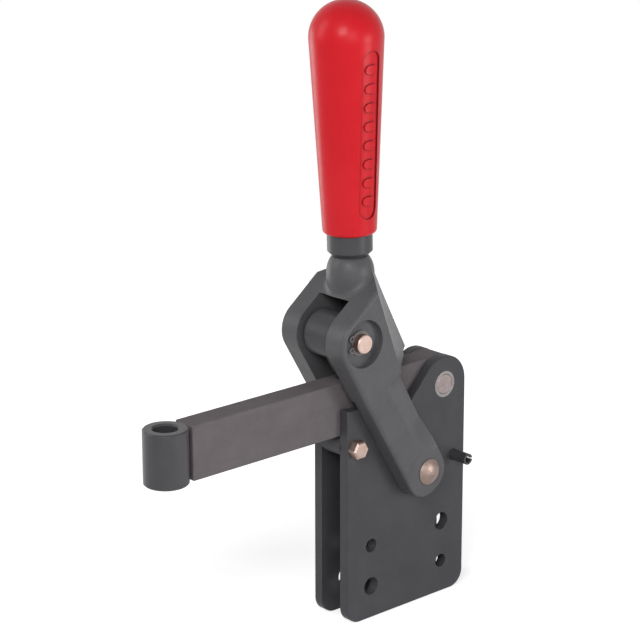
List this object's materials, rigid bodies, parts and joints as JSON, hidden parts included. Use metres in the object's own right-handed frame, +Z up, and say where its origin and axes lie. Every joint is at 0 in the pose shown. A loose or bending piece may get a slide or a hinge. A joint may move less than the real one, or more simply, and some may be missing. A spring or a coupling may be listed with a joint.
{
  "type": "toggle clamp",
  "caption": "Vertical-handle hold-down toggle clamp with a solid bar arm, forged handle yoke, red grip and two upright mounting plates.",
  "frame": {"origin": "on the plates' bottom plane, under the middle of the closed clamp's length and width", "axes": "+X to the rear, from the spindle sleeve towards the plates' rear edge; +Y to the right of someone who faces the arm from behind the handle; +Z up along the plates and the grip"},
  "size_m": [0.2284, 0.0592, 0.3655],
  "materials": {
    "black_steel": "satin black oxide",
    "bright_steel": "ground",
    "coppered_steel": "turned, faintly pink",
    "spring_steel": "dark bright steel",
    "red_plastic": "satin moulded"
  },
  "bodies": {
    "base": {"side_plate_left": "black_steel", "side_plate_right": "black_steel", "arm_pivot_ring_left": "bright_steel", "arm_pivot_ring_right": "bright_steel", "arm_pivot_pin": "coppered_steel", "handle_rivet": "coppered_steel", "pivot_spacer": "bright_steel", "stop_bolt": "coppered_steel", "stop_nut": "coppered_steel", "stop_spacer": "bright_steel", "open_stop_pin": "spring_steel"},
    "arm": {"clamp_arm": "black_steel", "arm_bushing": "bright_steel", "spindle_sleeve": "black_steel"},
    "handle": {"handle_yoke": "black_steel", "limb_bushing_left": "bright_steel", "limb_bushing_right": "bright_steel", "thrust_washer_left": "bright_steel", "thrust_washer_right": "bright_steel", "yoke_pin": "coppered_steel", "circlip_left": "spring_steel", "circlip_right": "spring_steel", "handle_shank": "spring_steel", "handle_collar": "black_steel", "hand_grip": "red_plastic"},
    "link": {"toggle_link": "black_steel", "link_bushing": "bright_steel", "arm_link_pin": "coppered_steel"}
  },
  "joints": [
    {"name": "handle_turn", "type": "hinge", "parent": "base", "child": "handle", "pos_m": [0.07305, 0, 0.0861], "axis": [0, 1, 0], "range_deg": [0, 84]},
    {"name": "arm_turn", "type": "hinge", "parent": "base", "child": "arm", "pos_m": [0.09705, 0, 0.1321], "axis": [0, 1, 0], "range_deg": [0, 107]},
    {"name": "link_turn", "type": "hinge", "parent": "handle", "child": "link", "pos_m": [0.02035, 0, 0.1756], "axis": [0, 1, 0], "range_deg": [0, 74]}
  ],
  "couplings": [
    {"joint": "arm_turn", "follows": "handle_turn", "ratio": 1.27},
    {"joint": "link_turn", "follows": "handle_turn", "ratio": 0.878}
  ]
}
